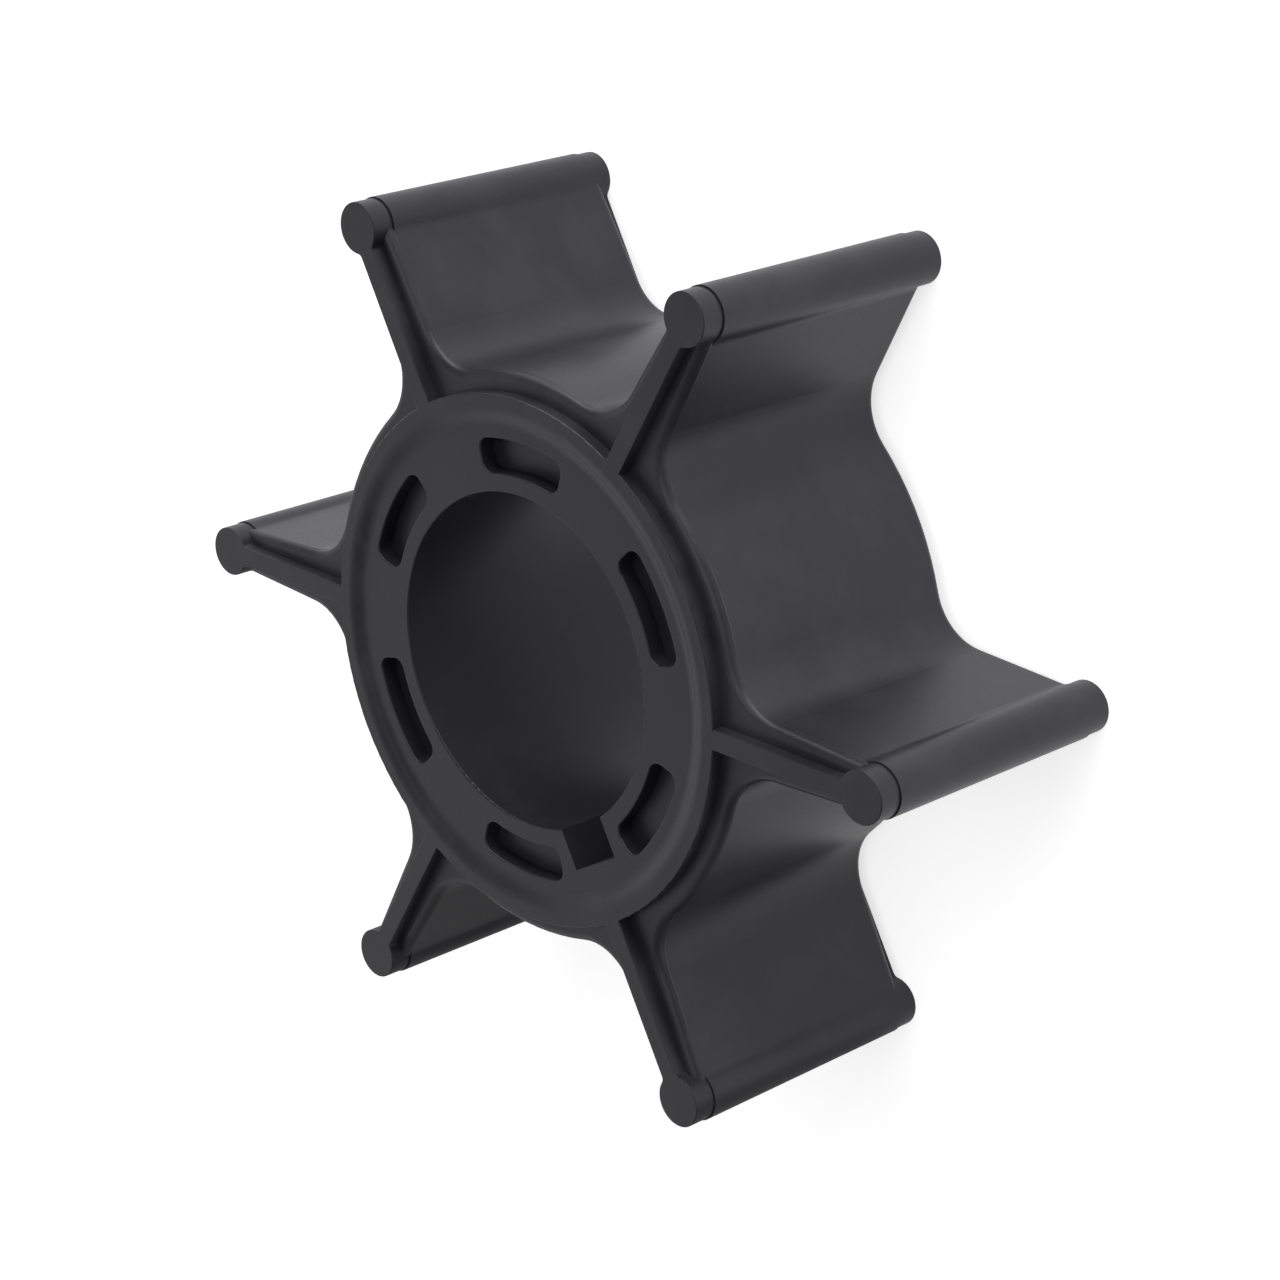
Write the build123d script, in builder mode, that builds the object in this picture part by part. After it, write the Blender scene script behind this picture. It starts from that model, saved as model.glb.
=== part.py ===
from build123d import *
import math
import os

# A flexible pump impeller: six tapered rubber vanes, each with a round bead at its tip,
# moulded round a rigid drive hub with a keyed bore.
# The shaft axis is +Z and the origin is on it, in the plane of the back end.
# The front end faces up, and the keyed vane points along -Y. Sizes are millimetres.

# Vanes
vane_count = 6
keyed_vane_angle = -90.0
overall_width = 23.8
bead_circle_radius = 34.0
vane_tip_thickness = 3.4
vane_root_thickness = 5.1
root_fillet_radius = 4.4

# Beads at the vane tips, with a slimmer collar at each end and a fine groove at the front one
bead_radius = 2.05
neck_fillet_radius = 1.2
collar_radius = 1.95
collar_fillet_radius = 0.5
collar_length = 1.7
groove_radius = 1.92
groove_width = 0.15

# Drive hub
bore_radius = 12.75
hub_wall = 4.85
hub_recess = 0.45
bore_edge_radius = 0.15
key_width = 4.7
key_depth = 2.95

# Pockets in the front face of the drive hub
pocket_setback = 1.4
pocket_width = 2.6
pocket_span_angle = 31.0
pocket_depth = 1.4
pocket_corner_radius = 0.9
pocket_edge_radius = 0.12

# Raised lands on both ends: a ring with a soft inner slope, and a rib on every vane
land_height = 1.0
land_slope_width = 1.6
land_ring_width = 0.95
rib_width = 1.5
land_edge_radius = 0.08

# Lower shelf round the lands
shelf_width = 1.45
shelf_edge_radius = 0.65

# Sizes that follow from the ones above
vane_pitch_angle = 360 / vane_count
hub_radius = bore_radius + hub_wall
hub_length = overall_width - 2 * hub_recess
hub_front = overall_width - hub_recess
land_ring_inner_radius = hub_radius + land_slope_width
land_ring_outer_radius = land_ring_inner_radius + land_ring_width
lobe_radius = land_ring_outer_radius + shelf_width
web_height = overall_width - 2 * land_height
bead_length = overall_width - 2 * collar_length - groove_width
pocket_inner_radius = bore_radius + pocket_setback
pocket_outer_radius = pocket_inner_radius + pocket_width

# Two points closer than this are taken as one
tolerance = 0.001


def is_root_corner(vertex):
    """True where a vane side meets the round wall between two vanes."""
    return abs(math.hypot(vertex.X, vertex.Y) - lobe_radius) < tolerance


def is_tip_corner(vertex):
    """True where the side of a vane or rib meets its round tip."""
    return lobe_radius < math.hypot(vertex.X, vertex.Y) < bead_circle_radius


def flat_edges(part, height):
    """The edges of a part that lie flat at one height."""
    return part.edges().filter_by_position(Axis.Z, height, height)


# One vane in plan, pointing along +X, without and with its bead
with BuildSketch() as vane_outline:
    Polygon(
        (hub_radius, -vane_root_thickness / 2),
        (bead_circle_radius, -vane_tip_thickness / 2),
        (bead_circle_radius, vane_tip_thickness / 2),
        (hub_radius, vane_root_thickness / 2),
        align=None,
    )

with BuildSketch() as beaded_vane_outline:
    add(vane_outline.sketch)
    with Locations((bead_circle_radius, 0)):
        Circle(bead_radius)
    fillet(beaded_vane_outline.vertices().filter_by(is_tip_corner), radius=neck_fillet_radius)


with BuildPart() as rubber_vane_body:
    # Web: the round wall with its tapered vanes, up to the shelves
    with BuildSketch(Plane.XY.offset(land_height)) as web_outline:
        with PolarLocations(0, vane_count, start_angle=keyed_vane_angle):
            add(vane_outline.sketch)
        Circle(lobe_radius)
        fillet(web_outline.vertices().filter_by(is_root_corner), radius=root_fillet_radius)
    extrude(amount=web_height)
    fillet(flat_edges(rubber_vane_body, land_height), radius=shelf_edge_radius)
    fillet(flat_edges(rubber_vane_body, overall_width - land_height), radius=shelf_edge_radius)

    # Lands: the same ring, ribs and bead collars on both ends
    for land_plane in (Plane.XY, Plane.XY.offset(overall_width - collar_length)):
        with BuildSketch(land_plane) as land_outline:
            Circle(land_ring_outer_radius)
            with PolarLocations(0, vane_count, start_angle=keyed_vane_angle):
                Rectangle(bead_circle_radius, rib_width, align=(Align.MIN, Align.CENTER))
            with PolarLocations(bead_circle_radius, vane_count, start_angle=keyed_vane_angle):
                Circle(collar_radius)
            fillet(land_outline.vertices().filter_by(is_tip_corner), radius=collar_fillet_radius)
        extrude(amount=collar_length)
    fillet(flat_edges(rubber_vane_body, 0), radius=land_edge_radius)
    fillet(flat_edges(rubber_vane_body, overall_width), radius=land_edge_radius)

    # Beads: a slim core that shows in the groove, and the full round behind it
    with BuildSketch(Plane.XY.offset(collar_length)):
        with PolarLocations(bead_circle_radius, vane_count, start_angle=keyed_vane_angle):
            Circle(groove_radius)
    extrude(amount=bead_length + groove_width)
    with BuildSketch(Plane.XY.offset(collar_length)):
        with PolarLocations(0, vane_count, start_angle=keyed_vane_angle):
            add(beaded_vane_outline.sketch)
    extrude(amount=bead_length)

    # Socket for the drive hub, with a soft slope up to the ring at both ends
    with BuildSketch(Plane.XZ):
        slope_middle = hub_radius + land_slope_width / 2
        with BuildLine():
            front_foot = TangentArc(
                (hub_radius, hub_front), (slope_middle, hub_front + hub_recess / 2), tangent=(1, 0)
            )
            front_brow = TangentArc(
                front_foot @ 1, (land_ring_inner_radius, overall_width), tangent=front_foot % 1
            )
            back_foot = TangentArc(
                (hub_radius, hub_recess), (slope_middle, hub_recess / 2), tangent=(1, 0)
            )
            back_brow = TangentArc(
                back_foot @ 1, (land_ring_inner_radius, 0), tangent=back_foot % 1
            )
            Line(back_foot @ 0, front_foot @ 0)
            Polyline(front_brow @ 1, (0, overall_width), (0, 0), back_brow @ 1)
        make_face()
    revolve(axis=Axis.Z, mode=Mode.SUBTRACT)
rubber_vane_body.part.label = "rubber_vane_body"


with BuildSketch() as pocket_outline:
    with BuildLine():
        outer_side = CenterArc((0, 0), pocket_outer_radius, -pocket_span_angle / 2, pocket_span_angle)
        inner_side = CenterArc((0, 0), pocket_inner_radius, -pocket_span_angle / 2, pocket_span_angle)
        Line(outer_side @ 0, inner_side @ 0)
        Line(outer_side @ 1, inner_side @ 1)
    make_face()
    fillet(pocket_outline.vertices(), radius=pocket_corner_radius)


with BuildPart() as drive_hub:
    # Round bush, with the ends of its bore eased
    with BuildSketch(Plane.XY.offset(hub_recess)):
        Circle(hub_radius)
        Circle(bore_radius, mode=Mode.SUBTRACT)
    extrude(amount=hub_length)
    bore_rims = drive_hub.edges().filter_by(GeomType.CIRCLE).sort_by(SortBy.RADIUS)[:2]
    fillet(bore_rims, radius=bore_edge_radius)

    # Key slot, open to the bore and to both ends
    with BuildSketch(Plane.XY.offset(hub_recess)):
        with PolarLocations(0, 1, start_angle=keyed_vane_angle):
            Rectangle(bore_radius + key_depth, key_width, align=(Align.MIN, Align.CENTER))
    extrude(amount=hub_length, mode=Mode.SUBTRACT)

    # Shallow pockets between the vanes, in the front face only, with softened rims
    with BuildSketch(Plane.XY.offset(hub_front)):
        with PolarLocations(0, vane_count, start_angle=keyed_vane_angle + vane_pitch_angle / 2):
            add(pocket_outline.sketch)
    extrude(amount=-pocket_depth, mode=Mode.SUBTRACT)
    pocket_rims = drive_hub.edges(Select.LAST).filter_by_position(Axis.Z, hub_front, hub_front)
    fillet(pocket_rims, radius=pocket_edge_radius)
drive_hub.part.label = "drive_hub"


os.makedirs("parts", exist_ok=True)
for piece in (rubber_vane_body, drive_hub):
    export_step(piece.part, f"parts/{piece.part.label}.step")
    print(piece.part.label, round(piece.part.volume), "cubic millimetres")
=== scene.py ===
"""Dresses a flexible pump impeller for a studio picture.

The impeller stands on its back end, with the shaft axis along +Z. Its two solids keep
their shape and place. This file gives them their finishes, and sets up the floor, the
lamps and the camera round them.
"""

import logging
import math
from collections.abc import Mapping, Sequence
from dataclasses import dataclass
from enum import Enum

import bpy
from mathutils import Matrix, Vector


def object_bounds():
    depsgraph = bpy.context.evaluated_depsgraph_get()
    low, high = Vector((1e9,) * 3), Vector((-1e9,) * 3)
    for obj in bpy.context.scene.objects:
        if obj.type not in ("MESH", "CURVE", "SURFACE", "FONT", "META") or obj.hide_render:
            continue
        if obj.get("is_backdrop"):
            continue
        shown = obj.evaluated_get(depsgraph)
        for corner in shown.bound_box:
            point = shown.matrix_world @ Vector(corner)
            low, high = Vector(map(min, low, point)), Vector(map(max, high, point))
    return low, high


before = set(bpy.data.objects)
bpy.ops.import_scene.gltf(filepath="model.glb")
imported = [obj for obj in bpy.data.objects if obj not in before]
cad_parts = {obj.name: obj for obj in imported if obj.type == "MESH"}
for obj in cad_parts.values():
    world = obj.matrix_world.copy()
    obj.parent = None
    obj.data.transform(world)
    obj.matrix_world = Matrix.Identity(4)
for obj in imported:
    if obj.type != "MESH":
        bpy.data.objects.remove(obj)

LOG = logging.getLogger("impeller")
MILLIMETRE = 0.001
MICROMETRE = 0.000001

Colour = tuple[float, float, float]
Wire = float | Sequence[float] | bpy.types.NodeSocket


class SocketKind(Enum):
    """The kinds of socket that a shader group can have."""

    VALUE = "NodeSocketFloat"
    COLOUR = "NodeSocketColor"
    VECTOR = "NodeSocketVector"


class Slot(Enum):
    """The material slots of the impeller."""

    RUBBER = "vane_rubber"
    PLASTIC = "hub_plastic"


class NodeSheet:
    """A shader node tree, with short calls to add nodes and to join them."""

    MIX_A = 6
    MIX_B = 7
    MIX_RESULT = 2
    NOISE_ROUGHNESS = 0.55

    def __init__(self, tree: bpy.types.NodeTree) -> None:
        """Starts an empty sheet.

        Args:
            tree: The node tree to fill. Its present nodes are removed.
        """
        self.tree = tree
        tree.nodes.clear()

    def add(
        self, kind: str, inputs: Mapping[str | int, Wire] | None = None, **settings: object
    ) -> bpy.types.Node:
        """Adds one node.

        Args:
            kind: The node's type, such as "ShaderNodeBump".
            inputs: What goes into its sockets, by name or number: a constant or a socket.
            **settings: The node's own settings, such as operation.

        Returns:
            The new node.
        """
        node = self.tree.nodes.new(kind)
        for name, value in settings.items():
            setattr(node, name, value)
        for key, wire in (inputs or {}).items():
            self.feed(node.inputs[key], wire)
        return node

    def feed(self, socket: bpy.types.NodeSocket, wire: Wire) -> None:
        """Sets a socket to a constant, or joins another socket to it.

        Args:
            socket: The input to feed.
            wire: The constant or the output that feeds it.
        """
        if isinstance(wire, bpy.types.NodeSocket):
            self.tree.links.new(wire, socket)
        else:
            socket.default_value = wire

    def math(self, operation: str, first: Wire, second: Wire = 0.0) -> bpy.types.NodeSocket:
        """Works out one sum on two values.

        Args:
            operation: The sum, such as "MULTIPLY".
            first: The first value.
            second: The second value.

        Returns:
            The socket that holds the result.
        """
        return self.add("ShaderNodeMath", {0: first, 1: second}, operation=operation).outputs[0]

    def blend(self, share: Wire, first: Wire, second: Wire) -> bpy.types.NodeSocket:
        """Mixes two colours.

        Args:
            share: 0 gives the first colour and 1 the second.
            first: The first colour.
            second: The second colour.

        Returns:
            The socket that holds the mixed colour.
        """
        inputs = {0: share, self.MIX_A: first, self.MIX_B: second}
        return self.add("ShaderNodeMix", inputs, data_type="RGBA").outputs[self.MIX_RESULT]

    def spread(self, value: Wire, low: Wire, high: Wire) -> bpy.types.NodeSocket:
        """Stretches a value of 0 to 1 over a range.

        Args:
            value: The value to stretch.
            low: What 0 becomes.
            high: What 1 becomes.

        Returns:
            The socket that holds the stretched value.
        """
        inputs = {"Value": value, "To Min": low, "To Max": high}
        return self.add("ShaderNodeMapRange", inputs).outputs["Result"]

    def step(self, value: Wire, start: float, end: float) -> bpy.types.NodeSocket:
        """Rises softly from 0 to 1 while a value passes from a start to an end.

        Args:
            value: The value to follow.
            start: Where the rise starts.
            end: Where the rise ends.

        Returns:
            The socket that holds the share, from 0 to 1.
        """
        inputs = {"Value": value, "From Min": start, "From Max": end}
        node = self.add("ShaderNodeMapRange", inputs, interpolation_type="SMOOTHSTEP")
        return node.outputs["Result"]

    def noise(self, place: Wire, size: Wire, detail: float = 2.0) -> bpy.types.NodeSocket:
        """Lays a soft random pattern over the surface.

        Args:
            place: The coordinates, in metres.
            size: The width of one blotch, in metres.
            detail: How many finer layers the pattern has.

        Returns:
            The socket that holds the pattern, from 0 to 1.
        """
        scale = self.math("DIVIDE", 1.0, size)
        inputs = {
            "Vector": place,
            "Scale": scale,
            "Detail": detail,
            "Roughness": self.NOISE_ROUGHNESS,
        }
        return self.add("ShaderNodeTexNoise", inputs).outputs["Fac"]


@dataclass(frozen=True)
class GroupSocket:
    """One named socket of a shader group."""

    name: str
    kind: SocketKind
    default: float | tuple[float, ...] | None = None


class ShaderGroup:
    """An effect that several finishes share, kept as one shader node group."""

    name: str = ""
    inputs: tuple[GroupSocket, ...] = ()
    outputs: tuple[GroupSocket, ...] = ()

    def __init__(self) -> None:
        """Builds the group's sockets and nodes."""
        self.tree = bpy.data.node_groups.new(self.name, "ShaderNodeTree")
        sheet = NodeSheet(self.tree)
        for way, sockets in (("INPUT", self.inputs), ("OUTPUT", self.outputs)):
            for spec in sockets:
                socket = self.tree.interface.new_socket(
                    spec.name, in_out=way, socket_type=spec.kind.value
                )
                if spec.default is not None:
                    socket.default_value = spec.default
        entry = sheet.add("NodeGroupInput")
        results = self.draw(sheet, entry.outputs)
        sheet.add("NodeGroupOutput", results)

    def draw(
        self, sheet: NodeSheet, given: bpy.types.NodeOutputs
    ) -> dict[str, bpy.types.NodeSocket]:
        """Draws the group's nodes.

        Args:
            sheet: The group's node sheet.
            given: The group's own inputs, by name.

        Returns:
            What each of the group's outputs shows.
        """
        raise NotImplementedError

    def place(self, sheet: NodeSheet, values: Mapping[str, Wire]) -> bpy.types.NodeOutputs:
        """Uses the group in a material.

        Args:
            sheet: The material's node sheet.
            values: The group's inputs in this material, by name.

        Returns:
            The group's outputs in this material.
        """
        node = sheet.add("ShaderNodeGroup", node_tree=self.tree)
        for name, wire in values.items():
            sheet.feed(node.inputs[name], wire)
        return node.outputs


class MouldedSkin(ShaderGroup):
    """The skin of a moulded piece: a fine grain, a soft waviness and a faint bloom."""

    name = "moulded_skin"
    inputs = (
        GroupSocket("Place", SocketKind.VECTOR),
        GroupSocket("Tone", SocketKind.COLOUR, (0.05, 0.05, 0.05, 1.0)),
        GroupSocket("Bloom Tone", SocketKind.COLOUR, (0.08, 0.08, 0.08, 1.0)),
        GroupSocket("Bloom", SocketKind.VALUE, 0.3),
        GroupSocket("Bloom Size", SocketKind.VALUE, 0.006),
        GroupSocket("Grain Size", SocketKind.VALUE, 0.0002),
        GroupSocket("Grain Depth", SocketKind.VALUE, 0.000002),
        GroupSocket("Wave Size", SocketKind.VALUE, 0.004),
        GroupSocket("Wave Depth", SocketKind.VALUE, 0.00001),
        GroupSocket("Smoothest", SocketKind.VALUE, 0.4),
        GroupSocket("Roughest", SocketKind.VALUE, 0.6),
    )
    outputs = (
        GroupSocket("Colour", SocketKind.COLOUR),
        GroupSocket("Roughness", SocketKind.VALUE),
        GroupSocket("Height", SocketKind.VALUE),
    )
    bloom_edge: tuple[float, float] = (0.42, 0.7)
    bloom_detail: float = 4.0
    grain_detail: float = 3.0
    wave_detail: float = 1.0

    def draw(
        self, sheet: NodeSheet, given: bpy.types.NodeOutputs
    ) -> dict[str, bpy.types.NodeSocket]:
        """Draws the bloom in the colour and the grain and waves in the height.

        Args:
            sheet: The group's node sheet.
            given: The group's own inputs, by name.

        Returns:
            What each of the group's outputs shows.
        """
        place = given["Place"]
        bloom = sheet.noise(place, given["Bloom Size"], self.bloom_detail)
        grain = sheet.noise(place, given["Grain Size"], self.grain_detail)
        wave = sheet.noise(place, given["Wave Size"], self.wave_detail)
        share = sheet.math("MULTIPLY", sheet.step(bloom, *self.bloom_edge), given["Bloom"])
        uneven = sheet.math("MULTIPLY", sheet.math("ADD", bloom, grain), 0.5)
        grain_height = sheet.math("MULTIPLY", grain, given["Grain Depth"])
        wave_height = sheet.math("MULTIPLY", wave, given["Wave Depth"])
        return {
            "Colour": sheet.blend(share, given["Tone"], given["Bloom Tone"]),
            "Roughness": sheet.spread(uneven, given["Smoothest"], given["Roughest"]),
            "Height": sheet.math("ADD", grain_height, wave_height),
        }


class PartingRidge(ShaderGroup):
    """The fine ridge that the joint of the mould leaves all round a piece, at one height."""

    name = "parting_ridge"
    inputs = (
        GroupSocket("Place", SocketKind.VECTOR),
        GroupSocket("Level", SocketKind.VALUE, 0.01),
        GroupSocket("Width", SocketKind.VALUE, 0.0001),
        GroupSocket("Depth", SocketKind.VALUE, 0.00003),
        GroupSocket("Patch Size", SocketKind.VALUE, 0.008),
    )
    outputs = (GroupSocket("Height", SocketKind.VALUE),)
    patch_edge: tuple[float, float] = (0.4, 0.6)

    def draw(
        self, sheet: NodeSheet, given: bpy.types.NodeOutputs
    ) -> dict[str, bpy.types.NodeSocket]:
        """Draws a bell-shaped ridge that fades in and out along its way.

        Args:
            sheet: The group's node sheet.
            given: The group's own inputs, by name.

        Returns:
            What each of the group's outputs shows.
        """
        level = sheet.add("ShaderNodeSeparateXYZ", {0: given["Place"]}).outputs["Z"]
        above = sheet.math("SUBTRACT", level, given["Level"])
        steps = sheet.math("DIVIDE", above, given["Width"])
        squared = sheet.math("MULTIPLY", steps, steps)
        bell = sheet.math("EXPONENT", sheet.math("MULTIPLY", squared, -1.0))
        patches = sheet.step(sheet.noise(given["Place"], given["Patch Size"]), *self.patch_edge)
        ridge = sheet.math("MULTIPLY", bell, patches)
        return {"Height": sheet.math("MULTIPLY", ridge, given["Depth"])}


class ScuffMarks(ShaderGroup):
    """Short fine rubs from handling, all much the same way."""

    name = "scuff_marks"
    inputs = (
        GroupSocket("Place", SocketKind.VECTOR),
        GroupSocket("Length", SocketKind.VALUE, 0.004),
        GroupSocket("Width", SocketKind.VALUE, 0.00012),
        GroupSocket("Turn", SocketKind.VALUE, 0.6),
        GroupSocket("Amount", SocketKind.VALUE, 0.5),
    )
    outputs = (GroupSocket("Mask", SocketKind.VALUE),)
    turning_axis: tuple[float, float, float] = (0.4, 0.3, 0.86)
    mark_detail: float = 1.0
    mark_edge: tuple[float, float] = (0.66, 0.76)
    patch_edge: tuple[float, float] = (0.45, 0.65)

    def draw(
        self, sheet: NodeSheet, given: bpy.types.NodeOutputs
    ) -> dict[str, bpy.types.NodeSocket]:
        """Draws a noise that is stretched one way and cut to its peaks.

        Args:
            sheet: The group's node sheet.
            given: The group's own inputs, by name.

        Returns:
            What each of the group's outputs shows.
        """
        turned = sheet.add(
            "ShaderNodeVectorRotate",
            {"Vector": given["Place"], "Axis": self.turning_axis, "Angle": given["Turn"]},
            rotation_type="AXIS_ANGLE",
        ).outputs["Vector"]
        sizes = sheet.add(
            "ShaderNodeCombineXYZ", {"X": given["Length"], "Y": given["Width"], "Z": given["Width"]}
        ).outputs["Vector"]
        stretched = sheet.add(
            "ShaderNodeVectorMath", {0: turned, 1: sizes}, operation="DIVIDE"
        ).outputs["Vector"]
        marks = sheet.step(sheet.noise(stretched, 1.0, self.mark_detail), *self.mark_edge)
        patches = sheet.step(sheet.noise(given["Place"], given["Length"]), *self.patch_edge)
        mask = sheet.math("MULTIPLY", marks, patches)
        return {"Mask": sheet.math("MULTIPLY", mask, given["Amount"])}


@dataclass(frozen=True)
class Effects:
    """The shader groups that the finishes share."""

    skin: MouldedSkin
    ridge: PartingRidge
    scuffs: ScuffMarks


@dataclass(frozen=True)
class MouldRidge:
    """Where the mould's joint shows on a piece, and how strongly."""

    level: float
    width: float
    depth: float


@dataclass(frozen=True)
class MouldedFinish:
    """The finish of one moulded material."""

    slot: Slot
    tone: Colour
    bloom_tone: Colour
    scuff_tone: Colour
    bloom: float
    bloom_size: float
    grain_size: float
    grain_depth: float
    wave_size: float
    wave_depth: float
    smoothest: float
    roughest: float
    scuffs: float
    specular: float
    sheen_tone: Colour
    ridge: MouldRidge | None = None

    def material(self, effects: Effects) -> bpy.types.Material:
        """Makes the material.

        Args:
            effects: The shared shader groups.

        Returns:
            The new material, named after its slot.
        """
        material = bpy.data.materials.new(self.slot.value + "_finish")
        material.use_nodes = True
        sheet = NodeSheet(material.node_tree)
        place = sheet.add("ShaderNodeTexCoord").outputs["Object"]
        surface = effects.skin.place(
            sheet,
            {
                "Place": place,
                "Tone": (*self.tone, 1.0),
                "Bloom Tone": (*self.bloom_tone, 1.0),
                "Bloom": self.bloom,
                "Bloom Size": self.bloom_size,
                "Grain Size": self.grain_size,
                "Grain Depth": self.grain_depth,
                "Wave Size": self.wave_size,
                "Wave Depth": self.wave_depth,
                "Smoothest": self.smoothest,
                "Roughest": self.roughest,
            },
        )
        height = surface["Height"]
        if self.ridge:
            ridge = effects.ridge.place(
                sheet,
                {
                    "Place": place,
                    "Level": self.ridge.level,
                    "Width": self.ridge.width,
                    "Depth": self.ridge.depth,
                },
            )
            height = sheet.math("ADD", height, ridge["Height"])
        scuffed = effects.scuffs.place(sheet, {"Place": place, "Amount": self.scuffs})["Mask"]
        relief = sheet.add("ShaderNodeBump", {"Distance": 1.0, "Height": height})
        shader = sheet.add(
            "ShaderNodeBsdfPrincipled",
            {
                "Base Color": sheet.blend(scuffed, surface["Colour"], (*self.scuff_tone, 1.0)),
                "Roughness": surface["Roughness"],
                "Normal": relief.outputs["Normal"],
                "Specular IOR Level": self.specular,
                "Specular Tint": (*self.sheen_tone, 1.0),
            },
        )
        sheet.add("ShaderNodeOutputMaterial", {"Surface": shader.outputs["BSDF"]})
        return material


RUBBER_FINISH = MouldedFinish(
    slot=Slot.RUBBER,
    tone=(0.0145, 0.0143, 0.0175),
    bloom_tone=(0.03, 0.03, 0.033),
    scuff_tone=(0.06, 0.06, 0.065),
    bloom=0.7,
    bloom_size=6 * MILLIMETRE,
    grain_size=0.22 * MILLIMETRE,
    grain_depth=3 * MICROMETRE,
    wave_size=5 * MILLIMETRE,
    wave_depth=14 * MICROMETRE,
    smoothest=0.3,
    roughest=0.56,
    scuffs=0.3,
    specular=0.44,
    sheen_tone=(0.9, 0.89, 1.0),
    ridge=MouldRidge(level=22.15 * MILLIMETRE, width=0.09 * MILLIMETRE, depth=40 * MICROMETRE),
)

PLASTIC_FINISH = MouldedFinish(
    slot=Slot.PLASTIC,
    tone=(0.014, 0.0138, 0.017),
    bloom_tone=(0.026, 0.026, 0.029),
    scuff_tone=(0.06, 0.06, 0.065),
    bloom=0.4,
    bloom_size=4 * MILLIMETRE,
    grain_size=0.14 * MILLIMETRE,
    grain_depth=2 * MICROMETRE,
    wave_size=7 * MILLIMETRE,
    wave_depth=5 * MICROMETRE,
    smoothest=0.32,
    roughest=0.52,
    scuffs=0.25,
    specular=0.44,
    sheen_tone=(0.9, 0.89, 1.0),
)


@dataclass
class MouldedPiece:
    """One moulded piece of the impeller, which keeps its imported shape."""

    node: str
    finish: MouldedFinish

    def dress(self, effects: Effects) -> None:
        """Puts the piece's finish on its node.

        Args:
            effects: The shared shader groups.
        """
        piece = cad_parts[self.node]
        piece.data.materials.clear()
        piece.data.materials.append(self.finish.material(effects))
        faces = len(piece.data.polygons)
        LOG.info("%s wears %s, %d faces", self.node, self.finish.slot.value, faces)


@dataclass
class Impeller:
    """The whole impeller: rubber vanes moulded round a rigid drive hub."""

    pieces: tuple[MouldedPiece, ...] = (
        MouldedPiece("rubber_vane_body", RUBBER_FINISH),
        MouldedPiece("drive_hub", PLASTIC_FINISH),
    )

    def dress(self) -> None:
        """Builds the shared effects and dresses every piece."""
        effects = Effects(MouldedSkin(), PartingRidge(), ScuffMarks())
        for piece in self.pieces:
            piece.dress(effects)


def direction(azimuth: float, elevation: float) -> Vector:
    """Points from the impeller towards a place round it.

    Args:
        azimuth: Degrees round the shaft axis: 0 is the -Y side and 90 the +X side.
        elevation: Degrees above the floor.

    Returns:
        A vector of length one.
    """
    turn = math.radians(azimuth)
    rise = math.radians(elevation)
    level = math.cos(rise)
    return Vector((math.sin(turn) * level, -math.cos(turn) * level, math.sin(rise)))


def aimed(place: Vector, aim: Vector, roll: float = 0.0) -> Matrix:
    """Turns a lamp or camera to look at a point.

    Args:
        place: Where it stands.
        aim: The point that it looks at.
        roll: Degrees that it is turned round its own line of sight.

    Returns:
        Its place and turn as a matrix.
    """
    turned = (aim - place).to_track_quat("-Z", "Y").to_matrix().to_4x4()
    return Matrix.Translation(place) @ turned @ Matrix.Rotation(math.radians(roll), 4, "Z")


@dataclass(frozen=True)
class PhotoCamera:
    """The camera, at the photograph's viewing angle."""

    azimuth: float = 88.0
    elevation: float = 40.55
    roll: float = -108.9
    distance: float = 262.8 * MILLIMETRE
    lens: float = 98.25
    sensor: float = 36.0
    aim: tuple[float, float, float] = (0.0, -1.27 * MILLIMETRE, 11.9 * MILLIMETRE)
    nearest: float = 0.01
    farthest: float = 20.0

    def build(self) -> None:
        """Makes the scene's camera."""
        data = bpy.data.cameras.new("photo_camera")
        data.lens = self.lens
        data.sensor_width = self.sensor
        data.clip_start = self.nearest
        data.clip_end = self.farthest
        camera = bpy.data.objects.new("photo_camera", data)
        bpy.context.scene.collection.objects.link(camera)
        aim = Vector(self.aim)
        place = aim + direction(self.azimuth, self.elevation) * self.distance
        camera.matrix_world = aimed(place, aim, self.roll)
        bpy.context.scene.camera = camera
        LOG.info("camera at %.3f, %.3f, %.3f m", *place)


@dataclass(frozen=True)
class SoftBox:
    """One large soft lamp."""

    name: str
    azimuth: float
    elevation: float
    distance: float
    width: float
    height: float
    watts: float

    def build(self, aim: Vector) -> None:
        """Makes the lamp.

        Args:
            aim: The point that the lamp faces.
        """
        data = bpy.data.lights.new(self.name, "AREA")
        data.shape = "RECTANGLE"
        data.size = self.width
        data.size_y = self.height
        data.energy = self.watts
        lamp = bpy.data.objects.new(self.name, data)
        bpy.context.scene.collection.objects.link(lamp)
        place = aim + direction(self.azimuth, self.elevation) * self.distance
        lamp.matrix_world = aimed(place, aim)
        LOG.info("%s, %.1f W", self.name, self.watts)


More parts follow.
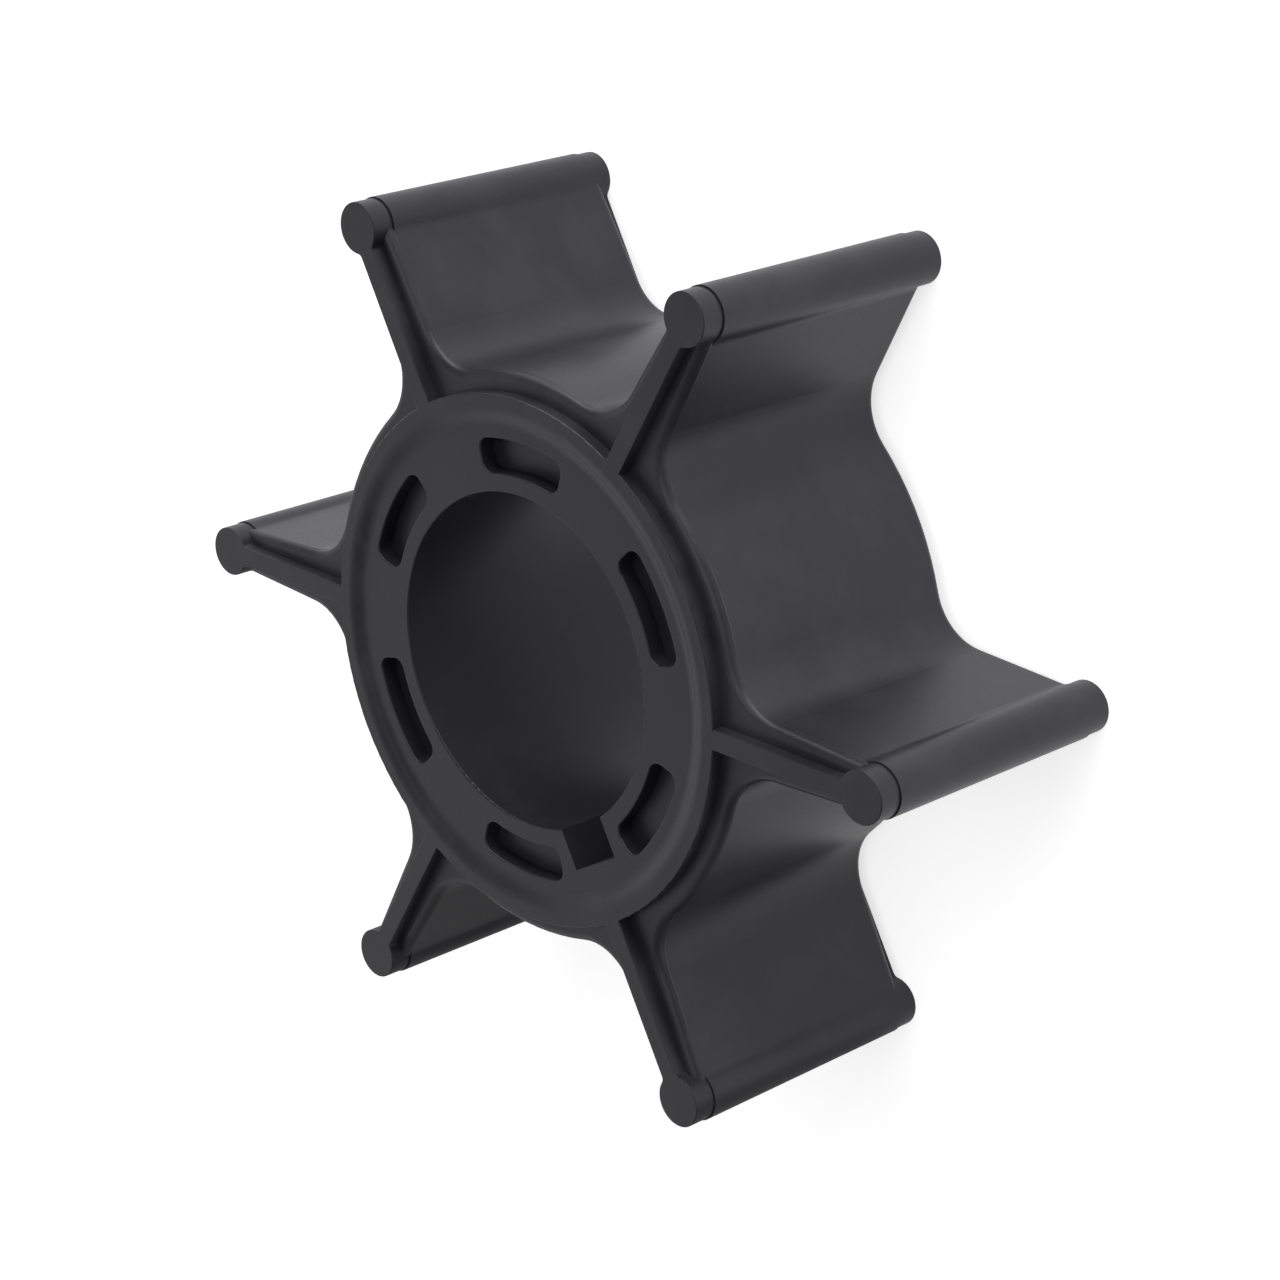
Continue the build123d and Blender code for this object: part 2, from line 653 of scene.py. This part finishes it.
@dataclass
class Studio:
    """The floor, the lamps and the light of the room."""

    floor_radius: float = 3.0
    floor_sides: int = 96
    floor_tone: Colour = (0.86, 0.86, 0.86)
    floor_roughness: float = 0.9
    floor_lift: float = 0.7
    shade_way: tuple[float, float, float] = (0.66, 0.75, 0.0)
    shade_start: float = -21 * MILLIMETRE
    shade_end: float = -33 * MILLIMETRE
    room_tone: Colour = (1.0, 1.0, 1.0)
    room_level: float = 0.15
    dim_side: float = 0.8
    dim_span: tuple[float, float] = (-0.95, -0.15)
    lamps: tuple[SoftBox, ...] = (
        SoftBox(
            name="key_softbox",
            azimuth=148.0,
            elevation=12.0,
            distance=0.9,
            width=1.2,
            height=0.36,
            watts=8.2,
        ),
        SoftBox(
            name="top_softbox",
            azimuth=112.0,
            elevation=64.0,
            distance=1.0,
            width=0.8,
            height=0.6,
            watts=2.8,
        ),
        SoftBox(
            name="low_softbox",
            azimuth=45.0,
            elevation=10.0,
            distance=0.9,
            width=0.5,
            height=0.2,
            watts=0.6,
        ),
    )

    def build(self) -> None:
        """Makes the floor, the lamps and the room."""
        lowest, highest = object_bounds()
        centre = (lowest + highest) / 2
        self.build_floor(lowest.z)
        for lamp in self.lamps:
            lamp.build(centre)
        self.build_room()
        view = bpy.context.scene.view_settings
        view.view_transform = "Standard"

    def build_floor(self, height: float) -> None:
        """Makes the pale floor that the impeller stands on.

        Args:
            height: The height of the floor.
        """
        bpy.ops.mesh.primitive_circle_add(
            vertices=self.floor_sides,
            radius=self.floor_radius,
            fill_type="NGON",
            location=(0, 0, height),
        )
        floor = bpy.context.object
        floor.name = "floor"
        floor.data.materials.append(self.floor_material())
        floor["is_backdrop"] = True

    def floor_material(self) -> bpy.types.Material:
        """Makes the floor's material: matt white, a little lifted where it is looked at.

        Returns:
            The new material.
        """
        material = bpy.data.materials.new("pale_floor")
        material.use_nodes = True
        sheet = NodeSheet(material.node_tree)
        place = sheet.add("ShaderNodeTexCoord").outputs["Object"]
        along = sheet.add(
            "ShaderNodeVectorMath", {0: place, 1: self.shade_way}, operation="DOT_PRODUCT"
        ).outputs["Value"]
        shade = sheet.math("SUBTRACT", 1.0, sheet.step(along, self.shade_end, self.shade_start))
        bright = self.dimmed_in_reflections(sheet, shade)
        seen = sheet.math("MULTIPLY", self.seen_directly(sheet), bright)
        matt = sheet.add(
            "ShaderNodeBsdfPrincipled",
            {
                "Base Color": (*self.floor_tone, 1.0),
                "Roughness": self.floor_roughness,
                "Specular IOR Level": 0.0,
                "Emission Color": (1.0, 1.0, 1.0, 1.0),
                "Emission Strength": sheet.math("MULTIPLY", seen, self.floor_lift),
            },
        )
        sheet.add("ShaderNodeOutputMaterial", {"Surface": matt.outputs["BSDF"]})
        return material

    def build_room(self) -> None:
        """Lights the room evenly, and shows it white with a dimmer side in its reflections."""
        world = bpy.data.worlds.new("studio")
        bpy.context.scene.world = world
        world.use_nodes = True
        sheet = NodeSheet(world.node_tree)
        way = sheet.add("ShaderNodeTexCoord").outputs["Generated"]
        across = sheet.add("ShaderNodeSeparateXYZ", {0: way}).outputs["X"]
        shade = sheet.math("MULTIPLY", sheet.step(across, *self.dim_span), self.dim_side)
        white = self.dimmed_in_reflections(sheet, shade)
        level = sheet.spread(self.seen_directly(sheet), self.room_level, white)
        light = sheet.add(
            "ShaderNodeBackground", {"Color": (*self.room_tone, 1.0), "Strength": level}
        )
        sheet.add("ShaderNodeOutputWorld", {"Surface": light.outputs["Background"]})

    @staticmethod
    def dimmed_in_reflections(sheet: NodeSheet, shade: Wire) -> bpy.types.NodeSocket:
        """Takes a shade off the brightness that reflections see, and nothing off a direct look.

        Args:
            sheet: The sheet to draw on.
            shade: The part of the brightness that goes.

        Returns:
            The socket that holds the brightness left.
        """
        reflected = sheet.add("ShaderNodeLightPath").outputs["Is Glossy Ray"]
        return sheet.math("SUBTRACT", 1.0, sheet.math("MULTIPLY", shade, reflected))

    @staticmethod
    def seen_directly(sheet: NodeSheet) -> bpy.types.NodeSocket:
        """Tells where the camera sees a surface: straight, through glass or as a reflection.

        Args:
            sheet: The sheet to draw on.

        Returns:
            The socket that is 1 there and 0 elsewhere.
        """
        path = sheet.add("ShaderNodeLightPath")
        seen = sheet.math(
            "MAXIMUM", path.outputs["Is Camera Ray"], path.outputs["Is Transmission Ray"]
        )
        return sheet.math("MAXIMUM", seen, path.outputs["Is Glossy Ray"])


def main() -> None:
    """Dresses the impeller and sets up the studio round it."""
    logging.basicConfig(level=logging.INFO, format="%(name)s: %(message)s")
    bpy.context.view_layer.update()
    Impeller().dress()
    Studio().build()
    PhotoCamera().build()


if __name__ == "__main__":
    main()
